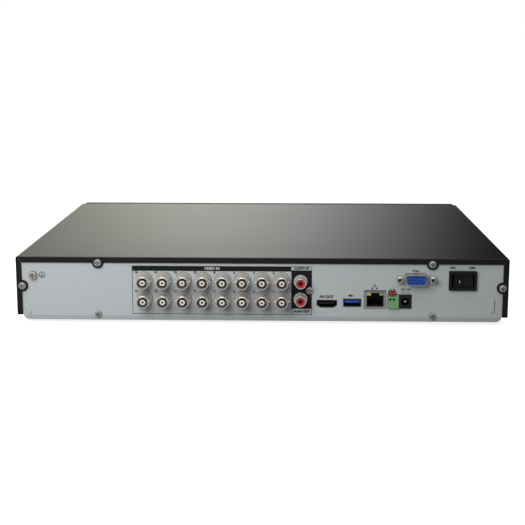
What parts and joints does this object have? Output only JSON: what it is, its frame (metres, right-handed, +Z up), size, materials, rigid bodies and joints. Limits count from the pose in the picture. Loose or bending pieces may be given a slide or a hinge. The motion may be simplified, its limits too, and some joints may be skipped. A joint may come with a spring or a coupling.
{
  "type": "dvr recorder",
  "caption": "Slim rack-width steel case video recorder with rear rows of BNC jacks, audio, HDMI, USB, network, VGA and power sockets, rocker switch, drive and fan inside.",
  "frame": {"origin": "on the surface under the feet, midway across the case and midway from bezel face to jack tips", "axes": "+Z up, +Y out of the rear panel, front bezel faces -Y, +X to the left seen from the rear"},
  "size_m": [0.375, 0.285, 0.053],
  "materials": {
    "cover_paint": "satin black powder coat",
    "panel_paint": "satin light grey paint",
    "galvanised_steel": "galvanised sheet",
    "bezel_plastic": "fine texture",
    "window_gloss": "gloss black",
    "clear_plastic": "clear",
    "foot_rubber": "matt",
    "zinc_screws": "bright zinc plate",
    "nickel_plate": "bright nickel",
    "contact_metal": "bright",
    "standoff_brass": "turned",
    "insulator_white": "off-white",
    "rca_red": "gloss red",
    "connector_steel": "tin plate",
    "port_shell": "dull nickel",
    "socket_black": "moulded",
    "socket_blue": "moulded",
    "lamp_yellow": "translucent",
    "lamp_green": "translucent",
    "terminal_green": "moulded",
    "terminal_red": "moulded",
    "switch_black": "satin",
    "terminal_tin": "tin plate",
    "board_laminate": "solder mask",
    "chip_epoxy": "epoxy",
    "heat_sink_metal": "extruded",
    "capacitor_can": "sleeved can",
    "cell_steel": "bright",
    "drive_alloy": "die-cast, dark",
    "drive_lid_steel": "satin",
    "platter_mirror": "polished",
    "arm_alloy": "machined",
    "cable_red": "jacket",
    "lead_black": "jacket"
  },
  "bodies": {
    "chassis": {"rear_panel": "panel_paint", "base_tray": "galvanised_steel", "front_bezel": "bezel_plastic", "display_window": "window_gloss", "light_pipes": "clear_plastic", "rubber_feet": "foot_rubber", "chassis_screws": "zinc_screws", "ground_screw": "zinc_screws", "vga_jackscrews": "zinc_screws", "bnc_shells": "nickel_plate", "rca_shells": "nickel_plate", "bnc_contacts": "contact_metal", "lan_contacts": "contact_metal", "board_standoffs": "standoff_brass", "bnc_insulators": "insulator_white", "rca_inserts": "rca_red", "lan_shell": "connector_steel", "vga_shell": "connector_steel", "hdmi_shell": "port_shell", "usb_rear_shell": "port_shell", "usb_front_shell": "port_shell", "bnc_housings": "socket_black", "rca_housing": "socket_black", "hdmi_tongue": "socket_black", "usb_front_tongue": "socket_black", "lan_insert": "socket_black", "dc_jack_body": "socket_black", "sata_sockets": "socket_black", "fan_frame": "socket_black", "usb_rear_tongue": "socket_blue", "vga_insert": "socket_blue", "lan_led_yellow": "lamp_yellow", "lan_led_green": "lamp_green", "rs485_body": "terminal_green", "switch_frame": "switch_black", "switch_terminals": "terminal_tin", "dc_jack_pin": "terminal_tin", "main_board": "board_laminate", "vga_riser_board": "board_laminate", "front_board": "board_laminate", "drive_board": "board_laminate", "board_chips": "chip_epoxy", "heat_sink": "heat_sink_metal", "capacitors": "capacitor_can", "coin_cell": "cell_steel", "drive_casting": "drive_alloy", "drive_lid": "drive_lid_steel", "sata_cable": "cable_red", "drive_power_cable": "lead_black", "switch_leads": "lead_black", "fan_lead": "lead_black", "front_cable": "lead_black"},
    "cover": {"top_cover": "cover_paint", "cover_screws": "zinc_screws"},
    "rocker": {"switch_rocker": "switch_black"},
    "release_a": {"rs485_button_a": "terminal_red"},
    "release_b": {"rs485_button_b": "terminal_red"},
    "fan_blades": {"fan_rotor": "socket_black"},
    "disk_stack": {"drive_platters": "platter_mirror"},
    "head_arm": {"drive_arm": "arm_alloy"}
  },
  "joints": [
    {"name": "cover_slide", "type": "slide", "parent": "chassis", "child": "cover", "axis": [0, 1, 0], "range_m": [0, 0.28]},
    {"name": "power_switch", "type": "hinge", "parent": "chassis", "child": "rocker", "pos_m": [-0.1526, 0.1275, 0.0361], "axis": [0, 0, -1], "range_deg": [0, 18]},
    {"name": "bus_release_a", "type": "slide", "parent": "chassis", "child": "release_a", "axis": [0, -1, 0], "range_m": [0, 0.0013], "stiffness_N_per_m": 1500, "springref_m": -0.0005},
    {"name": "bus_release_b", "type": "slide", "parent": "chassis", "child": "release_b", "axis": [0, -1, 0], "range_m": [0, 0.0013], "stiffness_N_per_m": 1500, "springref_m": -0.0005},
    {"name": "fan_spin", "type": "hinge", "parent": "chassis", "child": "fan_blades", "pos_m": [0.1755, 0.012, 0.0285], "axis": [1, 0, 0], "continuous": true},
    {"name": "platter_spin", "type": "hinge", "parent": "chassis", "child": "disk_stack", "pos_m": [-0.115, -0.075, 0.025], "axis": [0, 0, 1], "continuous": true},
    {"name": "head_swing", "type": "hinge", "parent": "chassis", "child": "head_arm", "pos_m": [-0.095, -0.021, 0.025], "axis": [0, 0, 1], "range_deg": [0, 33]}
  ]
}
